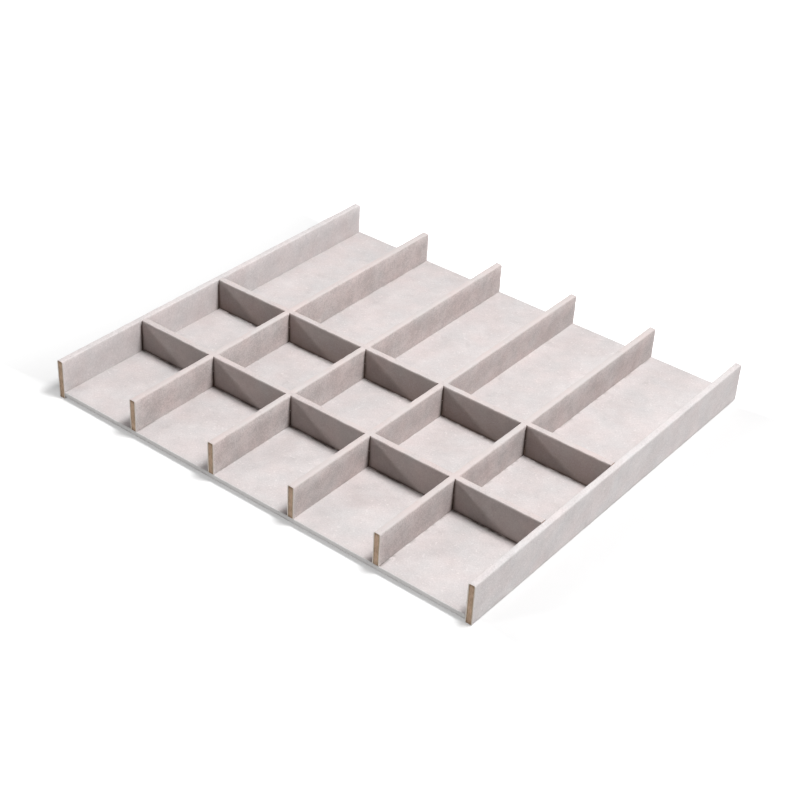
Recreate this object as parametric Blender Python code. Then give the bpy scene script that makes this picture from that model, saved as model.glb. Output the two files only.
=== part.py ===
"""Open-ended jewellery drawer insert.

Two side walls, four lengthwise dividers and two cross dividers make five columns and three rows of
compartments. Every board is wrapped in thin suede. The dividers are notched into each other with
half laps, so that their tops are flush, and stand on a base of two wrapped panels glued back to back.
The front ends are cut through board and suede and left raw. The rear ends are wrapped.

X runs from left to right, Y from the raw front ends to the wrapped rear ends, and Z up. The origin is
the middle of the footprint, on the surface that the insert stands on.
"""

import math

import bmesh
import bpy
from mathutils import Matrix, Vector

# Overall size, over the suede
WIDTH = 0.560
DEPTH = 0.505
HEIGHT = 0.0480

# Bare board thicknesses
RAIL_BOARD = 0.0060
CROSS_BOARD = 0.0066
BASE_BOARD = 0.0040
BOTTOM_BOARD = 0.0020

# Covering
SUEDE = 0.0004
GLUE_LINE = 0.0003
PANEL_HEM = 0.014
WALL_HEM = 0.0022

# Clearances between wrapped pieces, and inside the half laps
SEAT_GAP = 0.0003
LAP_GAP = 0.0003

# Rounded edges and corners of the bare boards
BOARD_EDGE_RADIUS = 0.0008
REAR_TOP_RADIUS = 0.0030
REAR_FOOT_RADIUS = 0.0016

# How far a cutting block reaches past what it cuts
OVERRUN = 0.002

# Places closer than this count as the same
SAME_PLACE = 0.00002

# Clear widths of the columns from left to right, clear depths of the rows from front to rear, and the
# height of the half laps above the dividers' feet
COLUMN_SHARES = (0.201, 0.204, 0.196, 0.197, 0.202)
ROW_SHARES = (0.241, 0.239, 0.520)
LAP_SHARE = 0.5

EDGE_SEGMENTS = 2
CORNER_SEGMENTS = 5
SMOOTH_ANGLE = math.radians(40)

# Sizes that follow from those above
SKIN = SUEDE + GLUE_LINE
RAIL = RAIL_BOARD + 2 * SKIN
CROSS = CROSS_BOARD + 2 * SKIN
BASE_LAYER = BASE_BOARD + 2 * SKIN
BOTTOM_LAYER = BOTTOM_BOARD + 2 * SKIN
BASE_Z = BOTTOM_LAYER + SEAT_GAP
FOOT_Z = BASE_Z + BASE_LAYER + SEAT_GAP
LAP_Z = FOOT_Z + LAP_SHARE * (HEIGHT - FOOT_Z)
FRONT_Y = -DEPTH / 2
INNER_WIDTH = WIDTH - 2 * RAIL
PANEL_WIDTH = INNER_WIDTH - 2 * SEAT_GAP


def clear_scene():
    for obj in list(bpy.data.objects):
        bpy.data.objects.remove(obj, do_unlink=True)


def make_material(name, color, roughness):
    material = bpy.data.materials.new(name)
    material.use_nodes = True
    shader = material.node_tree.nodes["Principled BSDF"]
    shader.inputs["Base Color"].default_value = (*color, 1)
    shader.inputs["Roughness"].default_value = roughness
    shader.inputs["Metallic"].default_value = 0
    material.diffuse_color = (*color, 1)
    return material


def places(start, total, thick, shares):
    """Low sides of the boards that part a clear length into the given shares."""
    clear = total - thick * (len(shares) - 1)
    found = []
    at = start
    for share in shares[:-1]:
        at += clear * share
        found.append(at)
        at += thick
    return found


def divider_xs():
    """Middles of the four lengthwise dividers."""
    lows = places(-INNER_WIDTH / 2, INNER_WIDTH, RAIL, COLUMN_SHARES)
    return [low + RAIL / 2 for low in lows]


def cross_ys():
    """Middles of the two cross dividers."""
    lows = places(FRONT_Y, DEPTH, CROSS, ROW_SHARES)
    return [low + CROSS / 2 for low in lows]


def add_box(bm, low, high):
    low, high = Vector(low), Vector(high)
    size = Matrix.Diagonal(high - low).to_4x4()
    bmesh.ops.create_cube(bm, size=1, matrix=Matrix.Translation((low + high) / 2) @ size)


def all_at(vertices, axis, place):
    return all(abs(v.co[axis] - place) < SAME_PLACE for v in vertices)


def round_edges(bm, edges, radius, segments):
    bmesh.ops.bevel(
        bm,
        geom=edges,
        offset=radius,
        segments=segments,
        profile=0.5,
        affect="EDGES",
        material=-1,
        clamp_overlap=False,
    )


def to_mesh(bm, name):
    mesh = bpy.data.meshes.new(name)
    bm.to_mesh(mesh)
    bm.free()
    mesh.shade_smooth()
    mesh.set_sharp_from_angle(angle=SMOOTH_ANGLE)
    return mesh


def standing_board(thick, length, height, grow, wrapped_rear, wrapped_foot):
    """A board on edge, along +Y from its raw front end at the origin, larger all round by grow.

    The front end stays where it is. So do the rear end and the foot, unless the suede goes round them.
    """
    half = thick / 2 + grow
    rear = length + grow * wrapped_rear
    foot = -grow * wrapped_foot
    top = height + grow
    bm = bmesh.new()
    add_box(bm, (-half, 0, foot), (half, rear, top))
    if wrapped_rear:
        corner = [e for e in bm.edges if all_at(e.verts, 1, rear) and all_at(e.verts, 2, top)]
        round_edges(bm, corner, REAR_TOP_RADIUS + grow, CORNER_SEGMENTS)
    if wrapped_rear and wrapped_foot:
        corner = [e for e in bm.edges if all_at(e.verts, 1, rear) and all_at(e.verts, 2, foot)]
        round_edges(bm, corner, REAR_FOOT_RADIUS + grow, CORNER_SEGMENTS)
    outline = []
    for edge in bm.edges:
        on_side = all_at(edge.verts, 0, -half) or all_at(edge.verts, 0, half)
        raw_front = all_at(edge.verts, 1, 0)
        raw_rear = not wrapped_rear and all_at(edge.verts, 1, rear)
        raw_foot = not wrapped_foot and all_at(edge.verts, 2, foot)
        if on_side and not (raw_front or raw_rear or raw_foot):
            outline.append(edge)
    round_edges(bm, outline, BOARD_EDGE_RADIUS + grow, EDGE_SEGMENTS)
    return bm


def board_mesh(name, thick, length, height, wrapped_rear, wrapped_foot):
    return to_mesh(standing_board(thick, length, height, 0, wrapped_rear, wrapped_foot), name)


def board_suede_mesh(name, thick, length, height, wrapped_rear, wrapped_foot):
    """The inner side of the suede round a board: a sheet that is open where the board is raw."""
    bm = standing_board(thick, length, height, GLUE_LINE, wrapped_rear, wrapped_foot)
    if wrapped_foot:
        split_foot(bm, thick)
    rear = length + GLUE_LINE * wrapped_rear
    opened = []
    for face in bm.faces:
        raw_front = all_at(face.verts, 1, 0)
        raw_rear = not wrapped_rear and all_at(face.verts, 1, rear)
        raw_foot = not wrapped_foot and all_at(face.verts, 2, 0)
        if raw_front or raw_rear or raw_foot:
            opened.append(face)
    bmesh.ops.delete(bm, geom=opened, context="FACES")
    return to_mesh(bm, name)


def split_foot(bm, thick):
    """Opens the suede under a wall between its two turned-in hems."""
    half = thick / 2 + GLUE_LINE
    seam = half - WALL_HEM
    foot = -GLUE_LINE
    for side in (-seam, seam):
        flat = [f for f in bm.faces if all_at(f.verts, 2, foot)]
        edges = {e for f in flat for e in f.edges}
        bmesh.ops.bisect_plane(
            bm,
            geom=flat + list(edges),
            dist=SAME_PLACE,
            plane_co=(side, 0, 0),
            plane_no=(1, 0, 0),
        )
    strip = []
    for face in bm.faces:
        if all_at(face.verts, 2, foot) and abs(face.calc_center_median().x) < seam:
            strip.append(face)
    bmesh.ops.delete(bm, geom=strip, context="FACES")


def panel(width, depth, thick, grow):
    """A flat panel centred on the origin, standing on Z = 0, larger all round by grow."""
    half_x = width / 2 + grow
    half_y = depth / 2 + grow
    bm = bmesh.new()
    add_box(bm, (-half_x, -half_y, -grow), (half_x, half_y, thick + grow))
    round_edges(bm, list(bm.edges), BOARD_EDGE_RADIUS + grow, EDGE_SEGMENTS)
    return bm


def panel_mesh(name, width, depth, thick):
    return to_mesh(panel(width, depth, thick, 0), name)


def panel_suede_mesh(name, width, depth, thick, open_z):
    """The inner side of the suede round a panel, turned in by a hem on the side that open_z tells."""
    bm = panel(width, depth, thick, GLUE_LINE)
    flat = [f for f in bm.faces if all_at(f.verts, 2, open_z)]
    bmesh.ops.inset_region(bm, faces=flat, thickness=PANEL_HEM, use_even_offset=True)
    bmesh.ops.delete(bm, geom=flat, context="FACES")
    return to_mesh(bm, name)


def add_object(name, mesh, material, holder):
    obj = bpy.data.objects.new(name, mesh)
    bpy.context.scene.collection.objects.link(obj)
    obj.parent = holder
    if not mesh.materials:
        mesh.materials.append(material)
    return obj


def add_holder(name, place, turn=0):
    holder = bpy.data.objects.new(name, None)
    bpy.context.scene.collection.objects.link(holder)
    holder.empty_display_size = HEIGHT / 2
    holder.location = place
    holder.rotation_euler = (0, 0, turn)
    return holder


def give_thickness(obj):
    """Thickens a sheet of suede away from its board."""
    solidify = obj.modifiers.new("suede", "SOLIDIFY")
    solidify.thickness = SUEDE
    solidify.offset = 1
    solidify.use_even_offset = True
    solidify.use_quality_normals = True


def cut(obj, cutter):
    notch = obj.modifiers.new("notch", "BOOLEAN")
    notch.operation = "DIFFERENCE"
    notch.solver = "EXACT"
    notch.object = cutter


def add_cutter(name, boxes):
    bm = bmesh.new()
    for low, high in boxes:
        add_box(bm, low, high)
    cutter = bpy.data.objects.new(name, to_mesh(bm, name))
    bpy.context.scene.collection.objects.link(cutter)
    cutter.hide_render = True
    cutter.display_type = "WIRE"
    return cutter


def rail_notches():
    """Blocks that notch the lengthwise dividers from above, where the cross dividers pass."""
    half = CROSS / 2 + LAP_GAP
    side = WIDTH / 2 + OVERRUN
    boxes = []
    for y in cross_ys():
        boxes.append(((-side, y - half, LAP_Z - LAP_GAP / 2), (side, y + half, HEIGHT + OVERRUN)))
    return add_cutter("rail_notches", boxes)


def cross_notches():
    """Blocks that notch the cross dividers from below, where the lengthwise dividers pass."""
    half = RAIL / 2 + LAP_GAP
    side = DEPTH / 2 + OVERRUN
    boxes = []
    for x in divider_xs():
        boxes.append(((x - half, -side, FOOT_Z - OVERRUN), (x + half, side, LAP_Z + LAP_GAP / 2)))
    return add_cutter("cross_notches", boxes)


def build_panels(board, suede):
    """The base panel, hemmed below, on the bottom panel, hemmed above."""
    width = PANEL_WIDTH - 2 * SKIN
    depth = DEPTH - 2 * SKIN
    layers = (
        ("bottom_panel", SKIN, BOTTOM_BOARD, BOTTOM_BOARD + GLUE_LINE),
        ("base_panel", BASE_Z + SKIN, BASE_BOARD, -GLUE_LINE),
    )
    for name, z, thick, open_z in layers:
        holder = add_holder(name, (0, 0, z))
        add_object(name + "_core", panel_mesh(name + "_core", width, depth, thick), board, holder)
        sheet = panel_suede_mesh(name + "_cover", width, depth, thick, open_z)
        give_thickness(add_object(name + "_cover", sheet, suede, holder))


def build_sides(board, suede):
    """The two side walls, which stand on the ground beside the base."""
    size = (RAIL_BOARD, DEPTH - SKIN, HEIGHT - 2 * SKIN)
    core = board_mesh("side_core", *size, True, True)
    sheet = board_suede_mesh("side_cover", *size, True, True)
    x = (WIDTH - RAIL) / 2
    for name, place in (("left_side", -x), ("right_side", x)):
        holder = add_holder(name, (place, FRONT_Y, SKIN))
        add_object(name + "_core", core, board, holder)
        give_thickness(add_object(name + "_cover", sheet, suede, holder))


def build_dividers(board, suede, notches):
    """The four lengthwise dividers, notched from above."""
    size = (RAIL_BOARD, DEPTH - SKIN, HEIGHT - SKIN - FOOT_Z)
    core = board_mesh("divider_core", *size, True, False)
    sheet = board_suede_mesh("divider_cover", *size, True, False)
    for number, x in enumerate(divider_xs(), 1):
        name = "divider_%d" % number
        holder = add_holder(name, (x, FRONT_Y, FOOT_Z))
        cut(add_object(name + "_core", core, board, holder), notches)
        cover = add_object(name + "_cover", sheet, suede, holder)
        give_thickness(cover)
        cut(cover, notches)


def build_crosses(board, suede, notches):
    """The two cross dividers, notched from below, with both ends butted against the side walls."""
    size = (CROSS_BOARD, PANEL_WIDTH, HEIGHT - SKIN - FOOT_Z)
    core = board_mesh("cross_core", *size, False, False)
    sheet = board_suede_mesh("cross_cover", *size, False, False)
    for name, y in zip(("front_cross", "rear_cross"), cross_ys()):
        holder = add_holder(name, (PANEL_WIDTH / 2, y, FOOT_Z), math.pi / 2)
        cut(add_object(name + "_core", core, board, holder), notches)
        cover = add_object(name + "_cover", sheet, suede, holder)
        give_thickness(cover)
        cut(cover, notches)


def main():
    clear_scene()
    suede = make_material("suede", (0.66, 0.60, 0.59), 0.95)
    board = make_material("fibreboard", (0.36, 0.26, 0.17), 0.85)
    build_panels(board, suede)
    build_sides(board, suede)
    build_dividers(board, suede, rail_notches())
    build_crosses(board, suede, cross_notches())


main()
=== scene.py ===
# %% [markdown]
# # A suede-wrapped jewelry organizer
#
# The real object is a drawer insert: thin fibreboard walls and dividers, each wrapped in pale
# greige suede, standing on a base of two wrapped panels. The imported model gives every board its
# exact place. This lesson dresses that model: it rebuilds each suede sheet with soft edges and a
# thickness that shows where the sheet is cut, and gives every surface a finish made of nodes.

# %% Load the frame
import math

import bmesh
import bpy
from mathutils import Matrix, Vector, noise


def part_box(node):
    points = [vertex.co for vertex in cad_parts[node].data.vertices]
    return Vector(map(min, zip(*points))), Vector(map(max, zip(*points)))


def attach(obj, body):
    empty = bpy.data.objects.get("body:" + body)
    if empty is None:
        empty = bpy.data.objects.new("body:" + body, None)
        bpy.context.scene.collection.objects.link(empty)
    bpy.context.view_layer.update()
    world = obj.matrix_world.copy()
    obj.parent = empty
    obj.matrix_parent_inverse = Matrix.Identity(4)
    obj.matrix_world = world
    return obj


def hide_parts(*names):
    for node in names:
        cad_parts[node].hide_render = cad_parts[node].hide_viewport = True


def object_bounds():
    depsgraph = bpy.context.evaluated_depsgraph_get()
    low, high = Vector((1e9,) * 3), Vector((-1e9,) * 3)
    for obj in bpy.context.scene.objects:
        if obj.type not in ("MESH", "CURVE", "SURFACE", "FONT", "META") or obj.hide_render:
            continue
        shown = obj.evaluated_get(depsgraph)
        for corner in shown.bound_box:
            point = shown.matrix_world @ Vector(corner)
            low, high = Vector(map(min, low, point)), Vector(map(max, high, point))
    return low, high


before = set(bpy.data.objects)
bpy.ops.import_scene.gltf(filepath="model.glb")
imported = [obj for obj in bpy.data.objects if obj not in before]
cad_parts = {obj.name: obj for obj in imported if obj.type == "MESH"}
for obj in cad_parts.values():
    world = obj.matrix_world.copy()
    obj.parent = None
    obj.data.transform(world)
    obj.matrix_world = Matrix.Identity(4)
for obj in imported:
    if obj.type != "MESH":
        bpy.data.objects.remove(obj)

cad_low, cad_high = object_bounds()
scene = bpy.context.scene
scene.view_settings.view_transform = "Standard"
print("frame box in mm:", [round(1000 * n, 1) for n in cad_high - cad_low])

# %% [markdown]
# ## Sizes
#
# Every piece that follows takes its place from the box of the node that it stands for. One could
# type the sizes in again, but then the two models could drift apart. So only the sizes that the
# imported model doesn't have, such as how round the edges are, are written here. All lengths are in
# metres.

# %% Read the sizes of the boards
RAILS = ("left_side", "divider_1", "divider_2", "divider_3", "divider_4", "right_side")
CROSSES = ("front_cross", "rear_cross")

rail_box = {name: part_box(name + "_cover") for name in RAILS}
cross_box = {name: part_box(name + "_cover") for name in CROSSES}
front_y = rail_box["divider_1"][0].y
rear_y = rail_box["divider_1"][1].y
foot_z = rail_box["divider_1"][0].z
top_z = rail_box["divider_1"][1].z
lap_z = (foot_z + top_z) / 2
seam_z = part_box("base_panel_cover")[0].z
rail_thick = rail_box["divider_1"][1].x - rail_box["divider_1"][0].x
print("rails", round(1000 * rail_thick, 2), "mm thick, laps at", round(1000 * lap_z, 2), "mm")

# %% Sizes of the suede
SKIN = 0.00068
EDGE_RADIUS = 0.0015
REAR_TOP_RADIUS = 0.0037
REAR_FOOT_RADIUS = 0.0023
BOARD_EDGE_RADIUS = 0.0007
EDGE_STEPS = 4
CORNER_STEPS = 6
MESH_STEP = 0.004
WALL_HEM = 0.0022
PANEL_HEM = 0.014
PANEL_EDGE_RADIUS = 0.0011
BOTTOM_SETBACK = 0.0030
LONG_EDGE = 0.1
print("suede", round(1000 * SKIN, 2), "mm thick, rounded to", round(1000 * EDGE_RADIUS, 1), "mm")

# %% [markdown]
# ## Camera
#
# The object is seen from the front right and from above, with little perspective. A camera is aimed
# by eye or solved from the long straight edges of the boards. Here it was solved, because the
# boards give dozens of straight lines, and the lens is kept without shift so that other views stay
# centred.

# %% Place the camera
camera_data = bpy.data.cameras.new("camera")
camera_data.lens = 73.533
camera_data.sensor_width = 36
camera = bpy.data.objects.new("camera", camera_data)
camera.location = (0.89424, -1.2133, 1.02072)
camera.rotation_euler = [math.radians(a) for a in (55.7749, -2.7669, 38.4117)]
scene.collection.objects.link(camera)
scene.camera = camera
print("camera distance", round(camera.location.length, 2), "m")

# %% [markdown]
# ## Suede
#
# Suede is leather or cloth with a short brushed nap. Its colour hardly changes, but the nap lies in
# strokes and soft patches that are a shade lighter or darker, and the fibres make a fine grain. A
# single noise would look like stone, so a node group adds up five: wide patches, brush strokes,
# small dark marks, pale specks and grain. It gives a shade, a height and a blush, which is how grey
# or pink the nap is, and each material turns the strokes its own way.

# %% Node helpers
def add_node(tree, kind, values=None, **settings):
    node = tree.nodes.new(kind)
    for key, value in settings.items():
        setattr(node, key, value)
    for key, value in (values or {}).items():
        node.inputs[key].default_value = value
    return node


def math_node(tree, operation, first, second):
    """A math node whose inputs are sockets or numbers."""
    node = add_node(tree, "ShaderNodeMath", operation=operation)
    for socket, value in zip(node.inputs, (first, second)):
        if isinstance(value, (int, float)):
            socket.default_value = value
        else:
            tree.links.new(value, socket)
    return node.outputs[0]


def noise_node(tree, vector, scale, detail, rough=0.5, distortion=0.0):
    values = {"Scale": scale, "Detail": detail, "Roughness": rough, "Distortion": distortion}
    node = add_node(tree, "ShaderNodeTexNoise", values)
    tree.links.new(vector, node.inputs["Vector"])
    return node.outputs["Fac"]


def range_node(tree, value, low, high, to_low=0.0, to_high=1.0):
    limits = {"From Min": low, "From Max": high, "To Min": to_low, "To Max": to_high}
    node = add_node(tree, "ShaderNodeMapRange", limits)
    tree.links.new(value, node.inputs["Value"])
    return node.outputs["Result"]


def mix_colors(tree, factor, first, second):
    node = add_node(tree, "ShaderNodeMix", data_type="RGBA")
    for index, value in ((0, factor), (6, first), (7, second)):
        if isinstance(value, tuple):
            node.inputs[index].default_value = (*value, 1)
        else:
            tree.links.new(value, node.inputs[index])
    return node.outputs[2]


# %% The nap group
def new_group(name, inputs, outputs):
    group = bpy.data.node_groups.new(name, "ShaderNodeTree")
    for label, kind, value in inputs:
        socket = group.interface.new_socket(label, in_out="INPUT", socket_type=kind)
        if value is not None:
            socket.default_value = value
    for label in outputs:
        group.interface.new_socket(label, in_out="OUTPUT", socket_type="NodeSocketFloat")
    given = group.nodes.new("NodeGroupInput").outputs
    result = group.nodes.new("NodeGroupOutput").inputs
    return group, given, result


def weigh(tree, value, weight):
    """A noise value centred on zero, times how much it counts."""
    return math_node(tree, "MULTIPLY", math_node(tree, "SUBTRACT", value, 0.5), weight)


# Waves to the metre in each noise. The strokes are already scaled by their own vector.
PATCH_SCALE = 42
STROKE_SCALE = 1
GRAIN_SCALE = 640
SPECK_SCALE = 380
MARK_SCALE = 80
BLUSH_SCALE = 34
# Only high noise shows: the first value is where it starts, the second where it is full.
SPECK_RANGE = (0.72, 0.82)
MARK_RANGE = (0.62, 0.8)
BLUSH_RANGE = (0.3, 0.7)


def make_nap_group():
    inputs = (
        ("Vector", "NodeSocketVector", None),
        ("Stroke Vector", "NodeSocketVector", None),
        ("Patches", "NodeSocketFloat", 0.9),
        ("Strokes", "NodeSocketFloat", 0.35),
        ("Grain", "NodeSocketFloat", 1.1),
        ("Specks", "NodeSocketFloat", 0.5),
        ("Marks", "NodeSocketFloat", 0.3),
    )
    group, given, result = new_group("suede nap", inputs, ("Shade", "Blush", "Height"))
    place, stroke_place = given["Vector"], given["Stroke Vector"]
    patches = noise_node(group, place, PATCH_SCALE, detail=3, rough=0.65)
    strokes = noise_node(group, stroke_place, STROKE_SCALE, detail=3, rough=0.55, distortion=0.7)
    grain = noise_node(group, place, GRAIN_SCALE, detail=2, rough=0.8)
    specks = range_node(group, noise_node(group, place, SPECK_SCALE, detail=0), *SPECK_RANGE)
    marks = range_node(group, noise_node(group, place, MARK_SCALE, detail=2), *MARK_RANGE)
    shade = math_node(group, "ADD", 0.5, weigh(group, patches, given["Patches"]))
    shade = math_node(group, "ADD", shade, weigh(group, strokes, given["Strokes"]))
    shade = math_node(group, "ADD", shade, weigh(group, grain, given["Grain"]))
    shade = math_node(group, "ADD", shade, math_node(group, "MULTIPLY", specks, given["Specks"]))
    shade = math_node(group, "SUBTRACT", shade, math_node(group, "MULTIPLY", marks, given["Marks"]))
    group.links.new(shade, result["Shade"])
    blush = noise_node(group, place, BLUSH_SCALE, detail=2)
    group.links.new(range_node(group, blush, *BLUSH_RANGE), result["Blush"])
    height = math_node(group, "ADD", math_node(group, "MULTIPLY", strokes, 0.5), grain)
    group.links.new(height, result["Height"])
    return group


nap = make_nap_group()
print("nap group has", len(nap.nodes), "nodes")

# %% Colours of the suede
# Each list: dark greyish, dark pinkish, light greyish and light pinkish.
SUEDE_HUES = (
    (0.592, 0.559, 0.557),
    (0.615, 0.553, 0.544),
    (0.784, 0.748, 0.745),
    (0.810, 0.738, 0.731),
)
# A darker copy of the same suede for the dividers and the cross dividers: painted shade for their
# faces inside the cells.
SHADED_HUES = (
    (0.514, 0.471, 0.460),
    (0.542, 0.460, 0.445),
    (0.685, 0.634, 0.621),
    (0.720, 0.623, 0.604),
)
# A lighter copy of the suede for the edges of the two panels: painted light.
EDGE_DARK = (0.78, 0.76, 0.745)
EDGE_LIGHT = (0.88, 0.86, 0.85)
LIT_EDGE_HUES = (EDGE_DARK, EDGE_DARK, EDGE_LIGHT, EDGE_LIGHT)
# The colour of painted shade, mixed into the suede in corners and creases and where shadows fall.
PAINTED_SHADE_COLOR = (0.085, 0.050, 0.034)
# How far down from the top the painted highlight on the top edges reaches.
TOP_REACH = 0.0025
print("darkest and lightest suede:", SUEDE_HUES[0], SUEDE_HUES[3])

# %% Suede material
def new_material(name, roughness):
    material = bpy.data.materials.new(name)
    material.use_nodes = True
    shader = material.node_tree.nodes["Principled BSDF"]
    shader.inputs["Roughness"].default_value = roughness
    return material, material.node_tree, shader


def add_bump(tree, shader, height, distance, strength):
    bump = add_node(tree, "ShaderNodeBump", {"Strength": strength, "Distance": distance})
    tree.links.new(height, bump.inputs["Height"])
    tree.links.new(bump.outputs["Normal"], shader.inputs["Normal"])


def make_suede(name, turn, stroke_scale, weights, hues=SUEDE_HUES, top_highlight=0.4):
    """Suede whose brush strokes are turned by turn, in degrees, and are stroke_scale to the metre.

    The top edges of the boards get a painted highlight, top_highlight of a shade lighter.
    """
    material, tree, shader = new_material(name, roughness=0.95)
    place = add_node(tree, "ShaderNodeTexCoord").outputs["Object"]
    mapping = add_node(tree, "ShaderNodeMapping", vector_type="TEXTURE")
    mapping.inputs["Rotation"].default_value = [math.radians(a) for a in turn]
    mapping.inputs["Scale"].default_value = [1 / s for s in stroke_scale]
    tree.links.new(place, mapping.inputs["Vector"])
    group = add_node(tree, "ShaderNodeGroup", weights, node_tree=nap)
    tree.links.new(place, group.inputs["Vector"])
    tree.links.new(mapping.outputs["Vector"], group.inputs["Stroke Vector"])
    along = add_node(tree, "ShaderNodeSeparateXYZ")
    tree.links.new(place, along.inputs["Vector"])
    # Painted highlight: the top edges of the boards are made lighter.
    painted_top_light = range_node(tree, along.outputs["Z"], top_z - TOP_REACH, top_z, to_high=top_highlight)
    shade = math_node(tree, "ADD", group.outputs["Shade"], painted_top_light)
    dark_grey, dark_pink, light_grey, light_pink = hues
    dark = mix_colors(tree, group.outputs["Blush"], dark_grey, dark_pink)
    light = mix_colors(tree, group.outputs["Blush"], light_grey, light_pink)
    nap_color = mix_colors(tree, shade, dark, light)
    # Painted shade: a number for each vertex says how much of the dark colour is mixed in.
    painted_shade = add_node(tree, "ShaderNodeAttribute", attribute_name="painted_shade")
    color = mix_colors(tree, painted_shade.outputs["Fac"], nap_color, PAINTED_SHADE_COLOR)
    tree.links.new(color, shader.inputs["Base Color"])
    roughness = range_node(tree, shade, 0, 1, to_low=1.0, to_high=0.88)
    tree.links.new(roughness, shader.inputs["Roughness"])
    add_bump(tree, shader, group.outputs["Height"], distance=0.0003, strength=0.5)
    shader.inputs["Specular IOR Level"].default_value = 0.15
    shader.inputs["Sheen Weight"].default_value = 0.12
    shader.inputs["Sheen Roughness"].default_value = 0.6
    return material


# %% Make the suedes
ALONG_Y = (90, 50, 130)
suede_floor = make_suede(
    "suede of the base",
    turn=(0, 0, 33),
    stroke_scale=(45, 130, 90),
    weights={"Patches": 0.95, "Strokes": 0.4, "Grain": 1.3},
)
suede_divider = make_suede(
    "suede of the dividers",
    turn=(20, 0, 0),
    stroke_scale=ALONG_Y,
    weights={"Patches": 2.1, "Strokes": 1.0, "Grain": 3.4},
    hues=SHADED_HUES,
    top_highlight=0.85,
)
suede_wall = make_suede(
    "suede of the side walls",
    turn=(20, 0, 0),
    stroke_scale=ALONG_Y,
    weights={"Patches": 1.1, "Strokes": 0.5, "Grain": 1.8},
    top_highlight=0.25,
)
suede_cross = make_suede(
    "suede of the cross dividers",
    turn=(0, 25, 0),
    stroke_scale=(50, 90, 130),
    weights={"Patches": 1.1, "Strokes": 0.5, "Grain": 2.0},
    hues=SHADED_HUES,
)
suede_edge = make_suede(
    "suede of the panel edges",
    turn=(0, 0, 0),
    stroke_scale=(60, 60, 200),
    weights={},
    hues=LIT_EDGE_HUES,
)
print("five suedes made")

# %% [markdown]
# ## Raw edges
#
# The front ends were sawn through after wrapping. They show tan fibreboard: pressed wood fibres in
# thin flat layers, darker round the rim of the cut. An image of fibreboard would do for one board.
# Noise gives each board its own chips, so it is used, squeezed into flat flakes. Beside the board
# runs the cut edge of the suede, a paler cream than the nap, because its backing isn't dyed as
# deep. Both get their own material.

# %% Fibreboard and cut suede
BOARD_DARK = (0.287, 0.189, 0.122)
BOARD_LIGHT = (0.800, 0.574, 0.414)
BOARD_TONE = 0.60
CUT_DARK = (0.79, 0.70, 0.62)
CUT_LIGHT = (0.95, 0.89, 0.82)
CHIP_SHAPE = (1 / 3, 1, 2)


def make_fibreboard():
    material, tree, shader = new_material("raw fibreboard", roughness=0.9)
    place = add_node(tree, "ShaderNodeTexCoord").outputs["Object"]
    mapping = add_node(tree, "ShaderNodeMapping", vector_type="TEXTURE")
    mapping.inputs["Scale"].default_value = CHIP_SHAPE
    tree.links.new(place, mapping.inputs["Vector"])
    chips = noise_node(tree, mapping.outputs["Vector"], scale=420, detail=4, rough=0.65)
    stains = noise_node(tree, place, scale=110, detail=2)
    tone = math_node(tree, "ADD", weigh(tree, stains, 1.1), BOARD_TONE)
    tone = math_node(tree, "ADD", weigh(tree, chips, 1.3), tone)
    # The rim of the cut is darker, by a number for each vertex.
    darkened = add_node(tree, "ShaderNodeAttribute", attribute_name="darkened")
    tone = math_node(tree, "SUBTRACT", tone, darkened.outputs["Fac"])
    color = mix_colors(tree, tone, BOARD_DARK, BOARD_LIGHT)
    tree.links.new(color, shader.inputs["Base Color"])
    roughness = range_node(tree, chips, 0.3, 0.7, to_low=0.95, to_high=0.8)
    tree.links.new(roughness, shader.inputs["Roughness"])
    add_bump(tree, shader, chips, distance=0.0003, strength=0.6)
    shader.inputs["Specular IOR Level"].default_value = 0.2
    return material


def make_cut_edge():
    material, tree, shader = new_material("cut edge of the suede", roughness=0.95)
    place = add_node(tree, "ShaderNodeTexCoord").outputs["Object"]
    fray = noise_node(tree, place, scale=700, detail=3, rough=0.6)
    color = mix_colors(tree, fray, CUT_DARK, CUT_LIGHT)
    tree.links.new(color, shader.inputs["Base Color"])
    roughness = range_node(tree, fray, 0.3, 0.7, to_low=1.0, to_high=0.85)
    tree.links.new(roughness, shader.inputs["Roughness"])
    add_bump(tree, shader, fray, distance=0.0002, strength=0.5)
    shader.inputs["Specular IOR Level"].default_value = 0.15
    return material


fibreboard = make_fibreboard()
cut_edge = make_cut_edge()
print("raw edge materials made")

# %% [markdown]
# ## Mesh helpers
#
# Each board starts as a box with bmesh, and its edges are rounded with the bevel operator. The
# faces are then sliced into small steps, because a sheet of only a few faces couldn't bend at all.

# %% Boxes, rounding and slicing
NEAR = 0.00001
# A face whose normal has this much of a direction looks that way.
FACING = 0.7


def between(first, second, share):
    return first + (second - first) * share


def add_box(bm, low, high):
    low, high = Vector(low), Vector(high)
    size = Matrix.Diagonal(high - low).to_4x4()
    bmesh.ops.create_cube(bm, size=1, matrix=Matrix.Translation((low + high) / 2) @ size)


def all_at(part, axis, place):
    return all(abs(v.co[axis] - place) < NEAR for v in part.verts)


def round_edges(bm, edges, radius, steps):
    bmesh.ops.bevel(
        bm,
        geom=edges,
        offset=radius,
        segments=steps,
        profile=0.5,
        affect="EDGES",
        material=-1,
        clamp_overlap=False,
    )


def slice_at(bm, axis, places):
    normal = Vector((0, 0, 0))
    normal[axis] = 1
    for place in places:
        geometry = bm.verts[:] + bm.edges[:] + bm.faces[:]
        point = normal * place
        bmesh.ops.bisect_plane(bm, geom=geometry, dist=NEAR, plane_co=point, plane_no=normal)


def even_places(start, stop, step):
    count = max(1, round((stop - start) / step))
    return [start + (stop - start) * i / count for i in range(1, count)]


def long_edges_on(bm, height):
    return [e for e in bm.edges if all_at(e, 2, height) and e.calc_length() > LONG_EDGE]


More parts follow.
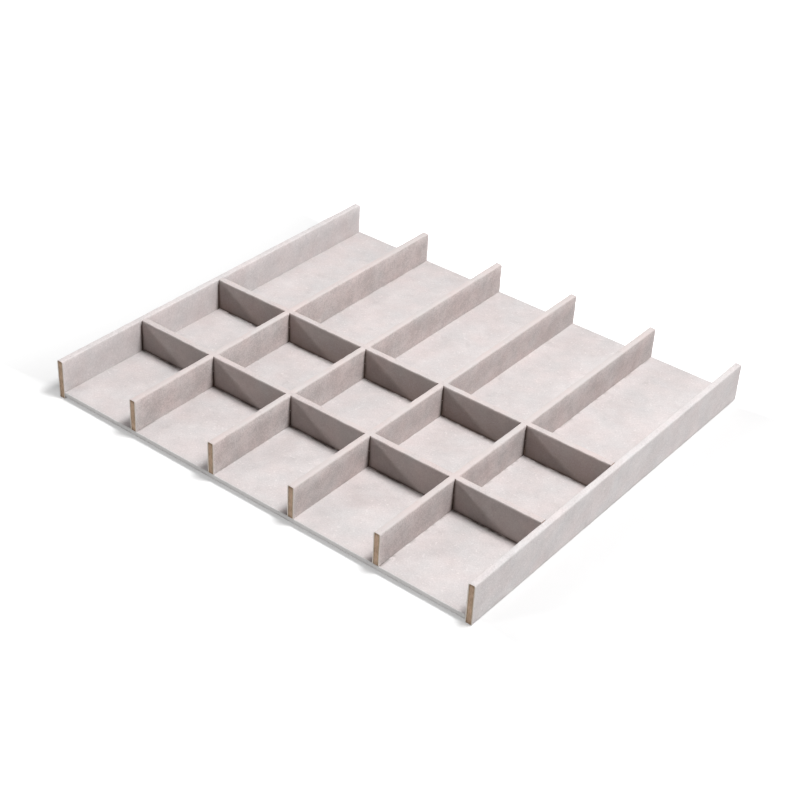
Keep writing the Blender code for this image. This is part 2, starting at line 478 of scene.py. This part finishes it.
def delete_faces(bm, faces):
    bmesh.ops.delete(bm, geom=faces, context="FACES")


print("slices along a board:", len(even_places(front_y, rear_y, MESH_STEP)))

# %% Objects
SHARP_ANGLE = math.radians(38)


def shade_smoothly(mesh):
    """Smooth shading, with the edges of cuts and folds kept sharp."""
    mesh.shade_smooth()
    mesh.set_sharp_from_angle(angle=SHARP_ANGLE)


def to_mesh(bm, name):
    mesh = bpy.data.meshes.new(name)
    bm.to_mesh(mesh)
    bm.free()
    shade_smoothly(mesh)
    return mesh


def add_object(name, mesh, *materials):
    piece = bpy.data.objects.new(name, mesh)
    scene.collection.objects.link(piece)
    for material in materials:
        mesh.materials.append(material)
    return piece


def settle(piece):
    """Makes the result of the modifiers the mesh of the piece."""
    graph = bpy.context.evaluated_depsgraph_get()
    mesh = bpy.data.meshes.new_from_object(piece.evaluated_get(graph))
    mesh.name = piece.name
    piece.modifiers.clear()
    piece.data = mesh
    shade_smoothly(mesh)


def thicken(piece):
    """Gives a sheet its thickness, towards its board."""
    wall = piece.modifiers.new("thickness", "SOLIDIFY")
    wall.thickness = SKIN
    wall.offset = -1
    wall.use_even_offset = True


def notch(piece, cutter):
    cut = piece.modifiers.new("notch", "BOOLEAN")
    cut.operation = "DIFFERENCE"
    cut.solver = "EXACT"
    cut.object = cutter


# %% [markdown]
# ## Where the boards cross
#
# The lengthwise boards are notched from above and the cross dividers from below, and the thick nap
# closes over the joint, so that no line shows on top. A straight notch would leave a dark groove
# beside the rounded edge of the cross divider. So the notch is coped: its cutter has the same
# rounded edges as the cross divider, and fits it closely on top. Lower down it opens a little, and
# shows as a dark line.

# %% How far the notches open
TIGHT = 0.00002
OVERRUN = 0.002
# Pairs of a depth below the start of the notch and how far it is open there, on each side.
COPED_OPENING = ((0.0021, 0), (0.0050, 0.0008), (0.02, 0.0013))
FOOT_OPENING = ((0, 0.0005), (0.02, 0.0012))


def opening(depth, table):
    """How far a notch is open at a depth below its start."""
    for (d0, w0), (d1, w1) in zip(table, table[1:]):
        if depth <= d1:
            return w0 + (w1 - w0) * max(0, depth - d0) / (d1 - d0)
    return table[-1][1]


lap_opening = opening(top_z - lap_z, COPED_OPENING)
print("coped notches open to", round(1000 * lap_opening, 2), "mm at the laps")

# %% Cutters
def coped_cutter():
    """The outer form of both cross dividers above the laps, wider towards the laps."""
    bm = bmesh.new()
    for low, high in cross_box.values():
        part = bmesh.new()
        start = (cad_low.x - OVERRUN, low.y - TIGHT, lap_z)
        add_box(part, start, (cad_high.x + OVERRUN, high.y + TIGHT, top_z + TIGHT))
        middle = (low.y + high.y) / 2
        round_edges(part, long_edges_on(part, top_z + TIGHT), EDGE_RADIUS, EDGE_STEPS)
        slice_at(part, 2, [top_z - depth for depth, width in COPED_OPENING[:2]])
        for v in part.verts:
            v.co.y += math.copysign(opening(top_z - v.co.z, COPED_OPENING), v.co.y - middle)
        lids = [f for f in part.faces if all_at(f, 2, top_z + TIGHT)]
        moved = bmesh.ops.extrude_face_region(part, geom=lids)["geom"]
        lifted = [g for g in moved if isinstance(g, bmesh.types.BMVert)]
        bmesh.ops.translate(part, verts=lifted, vec=(0, 0, OVERRUN))
        bmesh.ops.delete(part, geom=lids, context="FACES_ONLY")
        mesh = to_mesh(part, "coped")
        bm.from_mesh(mesh)
        bpy.data.meshes.remove(mesh)
    cutter = add_object("coped_cutter", to_mesh(bm, "coped_cutter"))
    cutter.hide_render = True
    return cutter


def lower_cutter():
    """Blocks that open the cross dividers from below, wider at the foot."""
    bm = bmesh.new()
    for name in RAILS[1:-1]:
        low, high = rail_box[name]
        middle = (low.x + high.x) / 2
        before = set(bm.verts)
        add_box(bm, (low.x, front_y - OVERRUN, foot_z - OVERRUN), (high.x, rear_y + OVERRUN, lap_z))
        for v in set(bm.verts) - before:
            v.co.x += math.copysign(opening(lap_z - v.co.z, FOOT_OPENING), v.co.x - middle)
    cutter = add_object("lower_cutter", to_mesh(bm, "lower_cutter"))
    cutter.hide_render = True
    return cutter


coped = coped_cutter()
lower = lower_cutter()
print("cutters have", len(coped.data.polygons), "and", len(lower.data.polygons), "faces")

# %% [markdown]
# ## Small unevenness
#
# Suede pulled round a board by hand is never quite flat. A modifier with a texture could push it in
# and out, but the same few tenths of a millimetre are easier to control when each vertex is moved
# along its normal by a smooth noise. The movement fades out near the crossings, where the pieces
# have to fit.

# %% Move vertices by noise
WIDE_SWELL = 0.00010
WIDE_SCALE = 45
TIGHT_SWELL = 0.00026
TIGHT_SCALE = 170
# A vertex whose normal lies so near an axis is on a flat face, and moves by this share.
FLAT_NORMAL = 0.97
FLAT_SHARE = 0.25
# Each piece has its own noise: its seed moves it by these steps.
SEED_STEPS = (3.7, 1.9, 5.3)
# Vertices keep still this near to the middle of a crossing, and then start to move.
CALM_REACH = 0.006
CALM_FADE = 0.012


def away_from(boxes, axis):
    """Makes a rule that is 0 where these boards cross a place, and 1 away from them."""
    middles = [(low[axis] + high[axis]) / 2 for low, high in boxes]

    def fade(place):
        gap = min(abs(place[axis] - middle) for middle in middles)
        return min(1, max(0, (gap - CALM_REACH) / CALM_FADE))

    return fade


def swell(bm, seed, fade):
    """Moves each vertex along its normal, more on the rounded edges than on the flat faces."""
    bm.normal_update()
    shift = Vector([seed * step for step in SEED_STEPS])
    for v in bm.verts:
        wide = noise.noise(v.co * WIDE_SCALE + shift) * WIDE_SWELL
        tight = noise.noise(v.co * TIGHT_SCALE + shift) * TIGHT_SWELL
        flat = max(abs(n) for n in v.normal) >= FLAT_NORMAL
        v.co += v.normal * (wide + tight * (FLAT_SHARE if flat else 1)) * fade(v.co)


print("vertices move by up to", round(1000 * (WIDE_SWELL + TIGHT_SWELL), 2), "mm")

# %% [markdown]
# ## Painted shade
#
# Where boards meet, shade is painted into the suede, so every inner corner shows a dark line. The
# front side of the cross dividers has painted shade that grows darker towards the foot. On the
# base, painted shadow lies a little left of each lengthwise board and before each cross divider,
# and painted shade lies at the seam between the two panels. Painting it into images would need one
# image for each piece. Instead a number for each vertex, from 0 to 1, holds how much painted shade
# lies there, and the suede materials read it.

# %% How dark the painted shade is
CREASE_STEPS = (0.0008, 0.0014, 0.0021, 0.003, 0.0045)
# How dark the painted shade is in the inner corners, where the boards meet.
CORNER_SHADE = 0.97
# Painted shade on the front side of each cross divider, away from the corners: at the top and at
# the foot.
FRONT_SIDE_SHADE = {"front_cross": (0.31, 0.56), "rear_cross": (0.37, 0.745)}
# How far the painted shade of a corner reaches from the joint: at the top and at the foot of the
# board.
RAIL_CREASE_REACH = (0.0025, 0.0060)
CROSS_CREASE_REACH = (0.0020, 0.0050)
CROSS_FOOT_REACH = 0.004
CLOSED_TOP = 0.04
# On the base, each pair is how dark the painted shade is and how far it reaches: the painted shadow
# before the cross dividers, beside the rails and near the front, and painted shade on the edge and
# at the seam.
BEFORE_CROSS = (0.9, 0.0045)
BESIDE_RAIL = (0.25, 0.012)
BESIDE_RAIL_AT_FRONT = (0.35, 0.06)
EDGE_FACE = (0.05, 0.005)
EDGE_SEAM = (0.52, 0.0017)


def fade_out(distance, reach):
    """1 at a distance of nothing, and 0 from the reach on."""
    return (1 - min(1, max(0, distance) / reach)) ** 2


def gap_to_next(place, boxes, axis):
    """How far it is to the next board along an axis, and less than nothing inside one."""
    return min(low[axis] - place[axis] if place[axis] < high[axis] else 1 for low, high in boxes)


def depth_below_top(place):
    return min(1, max(0, (top_z - place.z) / (top_z - foot_z)))


print("creases reach", [1000 * r for r in RAIL_CREASE_REACH], "mm, at the top and at the foot")

# %% Rules for the boards
def painted_shade_on_rail(place, normal):
    """Painted shade in the corners before the cross dividers, but not on the side walls or on the
    closed tops.
    """
    depth = depth_below_top(place)
    if abs(place.x) > cad_high.x - rail_thick / 2 or depth <= CLOSED_TOP:
        return 0
    gap = gap_to_next(place, cross_box.values(), 1) - COPED_OPENING[1][1]
    return CORNER_SHADE * fade_out(gap, between(*RAIL_CREASE_REACH, depth))


def painted_shade_on_cross(place, normal, side_top, side_foot):
    """Painted shade on the front side: darker towards the foot, and most in the corners and along
    the foot.
    """
    if normal.y > -FACING:
        return 0
    depth = depth_below_top(place)
    middles = [(low.x + high.x) / 2 for low, high in rail_box.values()]
    gap = min(abs(abs(place.x - middle) - rail_thick / 2) for middle in middles)
    reach = between(*CROSS_CREASE_REACH, depth)
    beside_rail = fade_out(gap - FOOT_OPENING[0][1], reach)
    at_foot = fade_out(place.z - foot_z, CROSS_FOOT_REACH)
    return between(between(side_top, side_foot, depth), CORNER_SHADE, max(beside_rail, at_foot))


# %% Rule for the panels
# What lies lower than this is the front or rear edge of the base, and not its floor.
EDGE_Z = foot_z - 0.0003


# A strength that fades out with the distance; it is used for painted shade and for the darker rim
# of the raw ends.
def faded_strength(distance, strength, reach):
    return strength * fade_out(distance, reach)


def painted_shade_on_panel(place, normal):
    """Painted shadow before the cross dividers and left of the rails, and painted shade towards the
    seam of the panels.
    """
    if place.z < EDGE_Z:
        above = place.z - seam_z
        return faded_strength(above, *EDGE_FACE) + faded_strength(above, *EDGE_SEAM) if above >= 0 else 0
    strength, reach = BESIDE_RAIL
    strength += faded_strength(place.y - front_y, *BESIDE_RAIL_AT_FRONT)
    beside_rail = strength * max(0, 1 - gap_to_next(place, rail_box.values(), 0) / reach)
    return max(faded_strength(gap_to_next(place, cross_box.values(), 1), *BEFORE_CROSS), beside_rail)


example = Vector((0, cross_box["front_cross"][0].y - 0.001, foot_z))
print("pressed 1 mm before a cross divider:", round(painted_shade_on_panel(example, None), 2))

# %% Write the values
def write_values(mesh, name, rule):
    layer = mesh.attributes.new(name, "FLOAT", "POINT")
    for v in mesh.vertices:
        layer.data[v.index].value = rule(v.co, v.normal)


def slice_beside(bm, axis, boxes, end, side):
    """Slices at the crease steps from one end (0 low, 1 high) of each box, towards one side."""
    slice_at(bm, axis, [box[end][axis] + side * step for box in boxes for step in CREASE_STEPS])


# %% [markdown]
# ## Lengthwise boards
#
# Each sheet goes up one side of its board, over the top and down the other side. At the rear it is
# folded round the end, with a rounded corner. At the front it was cut with the board, and the suede
# swells out a little beside its cut. A sheet could be draped by simulation, but this one is glued
# down, so its form is the form of the board: a box with rounded edges, opened where the sheet ends,
# and thickened inwards.

# %% Form of a lengthwise board
FRONT_STEPS = (0.0006, 0.0015, 0.0028, 0.0045)


def rail_form(low, high, wrapped_foot):
    """The outer form of a lengthwise board, in small faces, open at its front end and foot."""
    bm = bmesh.new()
    add_box(bm, low, high)
    corner = [e for e in bm.edges if all_at(e, 1, high.y) and all_at(e, 2, high.z)]
    round_edges(bm, corner, REAR_TOP_RADIUS, CORNER_STEPS)
    if wrapped_foot:
        corner = [e for e in bm.edges if all_at(e, 1, high.y) and all_at(e, 2, low.z)]
        round_edges(bm, corner, REAR_FOOT_RADIUS, CORNER_STEPS)
    outline = []
    for edge in bm.edges:
        on_side = all_at(edge, 0, low.x) or all_at(edge, 0, high.x)
        raw = all_at(edge, 1, low.y) or (all_at(edge, 2, low.z) and not wrapped_foot)
        if on_side and not raw:
            outline.append(edge)
    round_edges(bm, outline, EDGE_RADIUS, EDGE_STEPS)
    opened = [f for f in bm.faces if all_at(f, 1, low.y)]
    if not wrapped_foot:
        opened += [f for f in bm.faces if all_at(f, 2, low.z)]
    delete_faces(bm, opened)
    if wrapped_foot:
        slice_at(bm, 0, (low.x + WALL_HEM, high.x - WALL_HEM))
        middle = (low.x + high.x) / 2
        strip = [f for f in bm.faces if all_at(f, 2, low.z)]
        bare = [f for f in strip if abs(f.calc_center_median().x - middle) < rail_thick / 4]
        delete_faces(bm, bare)
    slice_at(bm, 1, [low.y + step for step in FRONT_STEPS])
    slice_at(bm, 1, even_places(low.y + FRONT_STEPS[-1], high.y - REAR_TOP_RADIUS, MESH_STEP))
    slice_beside(bm, 1, cross_box.values(), 0, -1)
    slice_at(bm, 2, even_places(low.z + EDGE_RADIUS, high.z - REAR_TOP_RADIUS, MESH_STEP))
    return bm


# %% Suede round a lengthwise board
CUT_FLARE = 0.0006
FLARE_REACH = 0.0045
# How uneven the swelling is: its mean, how far it goes up and down, and its waves to the metre.
FLARE_MEAN = 0.8
FLARE_SPREAD = 0.6
FLARE_SCALE = 350
# Moves the noise of each board to another place.
BOARD_STEP = 50
CUT_DEPTH = 0.0002


def spread_cut(mesh, middle):
    """Swells the suede outwards beside its cut at the front, unevenly up the board."""
    for v in mesh.vertices:
        near = 1 - (v.co.y - front_y) / FLARE_REACH
        if near > 0 and abs(v.co.x - middle) > rail_thick / 2 - SKIN / 2:
            wave = noise.noise(Vector((middle * BOARD_STEP, 0, v.co.z * FLARE_SCALE)))
            uneven = FLARE_MEAN + FLARE_SPREAD * wave
            v.co.x += math.copysign(CUT_FLARE * near * near * uneven, v.co.x - middle)


def mark_cut_edge(mesh):
    """Gives the second material to the faces of the cut at the front."""
    for face in mesh.polygons:
        if face.center.y < front_y + CUT_DEPTH and face.normal.y < -FACING:
            face.material_index = 1


def dress_rail(name, seed):
    low, high = rail_box[name]
    wall = name in ("left_side", "right_side")
    bm = rail_form(low, high, wall)
    swell(bm, seed, away_from(cross_box.values(), 1))
    suede = suede_wall if wall else suede_divider
    piece = add_object(name + "_suede", to_mesh(bm, name), suede, cut_edge)
    thicken(piece)
    if not wall:
        notch(piece, coped)
    settle(piece)
    spread_cut(piece.data, (low.x + high.x) / 2)
    mark_cut_edge(piece.data)
    write_values(piece.data, "painted_shade", painted_shade_on_rail)
    return piece


rail_suede = {name: dress_rail(name, seed) for seed, name in enumerate(RAILS, 1)}
for name, piece in rail_suede.items():
    print(piece.name, len(piece.data.polygons), "faces")

# %% [markdown]
# ## Raw ends of the boards
#
# The sawn end of a board is flat, but not smooth: the blade tears out small chips, and the rim of
# the cut is darker. The chips are moved vertices, a tenth of a millimetre deep. The darker rim is a
# number for each vertex, as the painted shade is, and the fibreboard reads it.

# %% How dark the rim of the cut is
# How dark each side of the raw end is, and how far that reaches.
DARKENED_TOP = (0.75, 0.0045)
DARKENED_FOOT = (0.45, 0.007)
DARKENED_LEFT = (0.50, 0.0020)
DARKENED_RIGHT = (0.30, 0.0012)
DARKENED_MOST = 0.8
END_STEP = 0.0006
CHIP_DEPTH = 0.00012
CHIP_SCALE = 700


def darkened_at(place, low, high):
    darkenings = (
        faded_strength(high.z - place.z, *DARKENED_TOP),
        faded_strength(place.z - low.z, *DARKENED_FOOT),
        faded_strength(place.x - low.x, *DARKENED_LEFT),
        faded_strength(high.x - place.x, *DARKENED_RIGHT),
    )
    return min(DARKENED_MOST, sum(darkenings))


print("the rubbed rim reaches", 1000 * DARKENED_TOP[1], "mm down from the top")

# %% Boards with raw ends
def dress_core(name, seed):
    """The fibreboard of a lengthwise board, with a sawn front end."""
    low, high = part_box(name + "_core")
    bm = bmesh.new()
    add_box(bm, low, high)
    for corner_z, radius in ((high.z, REAR_TOP_RADIUS), (low.z, REAR_FOOT_RADIUS)):
        corner = [e for e in bm.edges if all_at(e, 1, high.y) and all_at(e, 2, corner_z)]
        round_edges(bm, corner, radius - SKIN, CORNER_STEPS)
    sides = [e for e in bm.edges if all_at(e, 0, low.x) or all_at(e, 0, high.x)]
    round_edges(bm, [e for e in sides if not all_at(e, 1, low.y)], BOARD_EDGE_RADIUS, steps=2)
    slice_at(bm, 1, [low.y + END_STEP])
    slice_at(bm, 0, even_places(low.x, high.x, END_STEP))
    slice_at(bm, 2, even_places(low.z, high.z, END_STEP))
    bm.normal_update()
    for v in bm.verts:
        if abs(v.co.y - low.y) < NEAR:
            v.co.y += CHIP_DEPTH * noise.noise(v.co * CHIP_SCALE + Vector((seed, 0, 0)))
    piece = add_object(name + "_board", to_mesh(bm, name), fibreboard)
    if name not in ("left_side", "right_side"):
        notch(piece, coped)
    settle(piece)
    write_values(piece.data, "darkened", lambda place, normal: darkened_at(place, low, high))
    return piece


rail_boards = {name: dress_core(name, seed) for seed, name in enumerate(RAILS, 1)}
print("six boards with raw ends")

# %% [markdown]
# ## Cross dividers
#
# These run from wall to wall. Their sheets are plain: up, over the top and down, with notches from
# below where the lengthwise boards pass. They are made as the lengthwise sheets are, from a box
# with two rounded edges. Their ends meet the side walls and their foot meets the base, so both are
# left open.

# %% Suede round a cross divider
def dress_cross(name, seed):
    low, high = cross_box[name]
    bm = bmesh.new()
    add_box(bm, low, high)
    round_edges(bm, long_edges_on(bm, high.z), EDGE_RADIUS, EDGE_STEPS)
    ends = [f for f in bm.faces if all_at(f, 0, low.x) or all_at(f, 0, high.x)]
    foot = [f for f in bm.faces if all_at(f, 2, low.z)]
    delete_faces(bm, ends + foot)
    slice_at(bm, 0, even_places(low.x, high.x, MESH_STEP))
    slice_beside(bm, 0, rail_box.values(), 1, 1)
    slice_beside(bm, 0, rail_box.values(), 0, -1)
    slice_at(bm, 2, even_places(low.z, high.z - EDGE_RADIUS, MESH_STEP))
    slice_beside(bm, 2, [(low, high)], 0, 1)
    swell(bm, seed, away_from(rail_box.values(), 0))
    piece = add_object(name + "_suede", to_mesh(bm, name), suede_cross)
    thicken(piece)
    notch(piece, lower)
    settle(piece)

    def rule(place, normal):
        return painted_shade_on_cross(place, normal, *FRONT_SIDE_SHADE[name])

    write_values(piece.data, "painted_shade", rule)
    return piece


cross_suede = {name: dress_cross(name, seed) for seed, name in enumerate(CROSSES, 11)}
for cutter in (coped, lower):
    bpy.data.objects.remove(cutter)
print("two cross dividers")

# %% [markdown]
# ## Base
#
# The base is two boards, each wrapped with its hems turned in on one side, and glued together with
# the hems inside. From the front it shows as two soft layers with a dark seam between them. The
# lower panel stands back a little, so it lies in the shade of the upper one. The hem is an inset of
# the flat side, whose middle is then deleted, because an inset keeps the mesh of the sheet in one
# piece.

# %% Suede of the two panels
PANEL_SWELL = 0.6
# A face of the panels whose normal is less upright than this belongs to an edge.
UPRIGHT = 0.9


def dress_panel(name, seed, hem_below, setback):
    low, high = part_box(name + "_cover")
    low, high = low + Vector((setback, setback, 0)), high - Vector((setback, setback, 0))
    radius = min(PANEL_EDGE_RADIUS, (high.z - low.z) / 2.1)
    bm = bmesh.new()
    add_box(bm, low, high)
    round_edges(bm, list(bm.edges), radius, EDGE_STEPS)
    hem_z = low.z if hem_below else high.z
    flat = [f for f in bm.faces if all_at(f, 2, hem_z)]
    bmesh.ops.inset_region(bm, faces=flat, thickness=PANEL_HEM, use_even_offset=True)
    delete_faces(bm, flat)
    slice_at(bm, 0, even_places(low.x + radius, high.x - radius, MESH_STEP))
    slice_at(bm, 1, even_places(low.y + radius, high.y - radius, MESH_STEP))
    slice_beside(bm, 0, rail_box.values(), 0, -1)
    slice_beside(bm, 1, cross_box.values(), 0, -1)
    swell(bm, seed, lambda place: PANEL_SWELL)
    piece = add_object(name + "_suede", to_mesh(bm, name), suede_floor, suede_edge)
    thicken(piece)
    settle(piece)
    for face in piece.data.polygons:
        if abs(face.normal.z) < UPRIGHT:
            face.material_index = 1
    write_values(piece.data, "painted_shade", painted_shade_on_panel)
    return piece


panel_suede = {
    "base_panel": dress_panel("base_panel", 21, True, 0),
    "bottom_panel": dress_panel("bottom_panel", 22, False, BOTTOM_SETBACK),
}
print("two wrapped panels")

# %% Board of the bottom panel
def set_back_board():
    """The board inside the bottom panel, set back with its suede."""
    low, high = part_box("bottom_panel_core")
    back = Vector((BOTTOM_SETBACK, BOTTOM_SETBACK, 0))
    bm = bmesh.new()
    add_box(bm, low + back, high - back)
    return add_object("bottom_panel_board", to_mesh(bm, "bottom_panel_board"), fibreboard)


bottom_board = set_back_board()
print("the bottom panel stands back", round(1000 * BOTTOM_SETBACK, 1), "mm")

# %% [markdown]
# ## Joining the dressed pieces to the model
#
# Each new piece rides on the one rigid body, and the node that it stands for is hidden. The three
# boards that never show keep their nodes and only get the better material.

# %% Ride, replace and assign
def join(piece, node):
    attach(piece, "root")
    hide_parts(node)


for name, piece in {**rail_suede, **cross_suede, **panel_suede}.items():
    join(piece, name + "_cover")
for name, piece in rail_boards.items():
    join(piece, name + "_core")
join(bottom_board, "bottom_panel_core")
for name in ("front_cross_core", "rear_cross_core", "base_panel_core"):
    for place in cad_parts[name].material_slots:
        place.material = fibreboard
print("pieces joined")

# %% [markdown]
# ## Floor and light
#
# The object stands on a white floor without a horizon. A brighter lamp would make the floor white,
# but the suede too. So the floor glows instead, little beside the object, where its soft shadow
# lies, and more away from it. Only the camera, mirrors and glass see that glow. The light is a soft
# disk overhead, a weaker one at the left, and four faint suns, which light every part of the floor
# the same.

# %% Floor and world
FLOOR_HALF = 6
FLOOR_GAP = 0.00005
FLOOR_COLOR = (0.66, 0.66, 0.66, 1)
WHITE = (1, 1, 1, 1)
GLOW_NEAR = 0.20
GLOW_FAR = 0.75
# How far from the sides, and from the ends, of the object the glow starts to grow and is full.
GLOW_REACH = ((0.012, 0.28), (-0.014, 0.030))
SKY = 0.06


def white_seen(tree):
    """1 for rays from the camera, a mirror or glass, which see the floor and the world white."""
    rays = add_node(tree, "ShaderNodeLightPath")
    seen = math_node(tree, "MAXIMUM", rays.outputs["Is Camera Ray"], rays.outputs["Is Glossy Ray"])
    return math_node(tree, "MAXIMUM", seen, rays.outputs["Is Transmission Ray"])


def make_floor():
    bm = bmesh.new()
    bmesh.ops.create_grid(bm, x_segments=1, y_segments=1, size=FLOOR_HALF)
    bmesh.ops.translate(bm, verts=bm.verts, vec=(0, 0, -FLOOR_GAP))
    material, tree, shader = new_material("white floor", roughness=0.9)
    shader.inputs["Base Color"].default_value = FLOOR_COLOR
    shader.inputs["Specular IOR Level"].default_value = 0
    place = add_node(tree, "ShaderNodeSeparateXYZ")
    tree.links.new(add_node(tree, "ShaderNodeTexCoord").outputs["Object"], place.inputs["Vector"])
    glows = []
    for axis, half, (start, full) in zip("XY", (cad_high.x, cad_high.y), GLOW_REACH):
        gap = math_node(tree, "SUBTRACT", math_node(tree, "ABSOLUTE", place.outputs[axis], 0), half)
        glows.append(range_node(tree, gap, start, full, GLOW_NEAR, GLOW_FAR))
    away = math_node(tree, "MAXIMUM", *glows)
    glow = math_node(tree, "MULTIPLY", white_seen(tree), away)
    shader.inputs["Emission Color"].default_value = WHITE
    tree.links.new(glow, shader.inputs["Emission Strength"])
    floor = add_object("floor", to_mesh(bm, "floor"), material)


def make_world():
    world = bpy.data.worlds.new("white studio")
    scene.world = world
    world.use_nodes = True
    tree = world.node_tree
    soft = tree.nodes["Background"]
    soft.inputs["Color"].default_value = WHITE
    soft.inputs["Strength"].default_value = SKY
    white = add_node(tree, "ShaderNodeBackground", {"Color": WHITE, "Strength": 1})
    mix = add_node(tree, "ShaderNodeMixShader")
    tree.links.new(white_seen(tree), mix.inputs[0])
    tree.links.new(soft.outputs[0], mix.inputs[1])
    tree.links.new(white.outputs[0], mix.inputs[2])
    tree.links.new(mix.outputs[0], tree.nodes["World Output"].inputs["Surface"])


make_floor()
make_world()
print("floor and world made")

# %% Lamps
# Each sun: its angle round the object, from +X towards +Y, its height, its width and its strength.
SUNS = (
    ("front", 236, 18, 5, 0.69),
    ("back", 90, 25, 30, 0.25),
    ("right", 0, 5, 12, 0.65),
    ("high", 20, 57, 20, 0.52),
)
# Each disk hangs near, so its side gets more light: place and width in metres, and watts.
DISKS = (
    ("key", (0.51, 0.085, 1.55), 0.46, 20.2),
    ("left", (-0.50, 0, 0.70), 0.30, 0.95),
)
SUN_DISTANCE = 2


def place_lamp(data, place):
    """Hangs a lamp at a place, aimed at the middle of the object."""
    lamp = bpy.data.objects.new(data.name, data)
    lamp.location = place
    lamp.rotation_euler = place.to_track_quat("Z", "Y").to_euler()
    lamp.visible_camera = False
    scene.collection.objects.link(lamp)


def sky_place(around, up):
    """A place at the distance of the suns, turned by two angles in degrees."""
    around, up = math.radians(around), math.radians(up)
    level = math.cos(up)
    turned = Vector((math.cos(around) * level, math.sin(around) * level, math.sin(up)))
    return SUN_DISTANCE * turned


for name, around, up, wide, strength in SUNS:
    sun = bpy.data.lights.new(name, "SUN")
    sun.angle = math.radians(wide)
    sun.energy = strength
    place_lamp(sun, sky_place(around, up))
for name, place, width, watts in DISKS:
    disk = bpy.data.lights.new(name, "AREA")
    disk.shape = "DISK"
    disk.size = width
    disk.energy = watts
    place_lamp(disk, Vector(place))
print(len(SUNS), "suns and", len(DISKS), "disks")
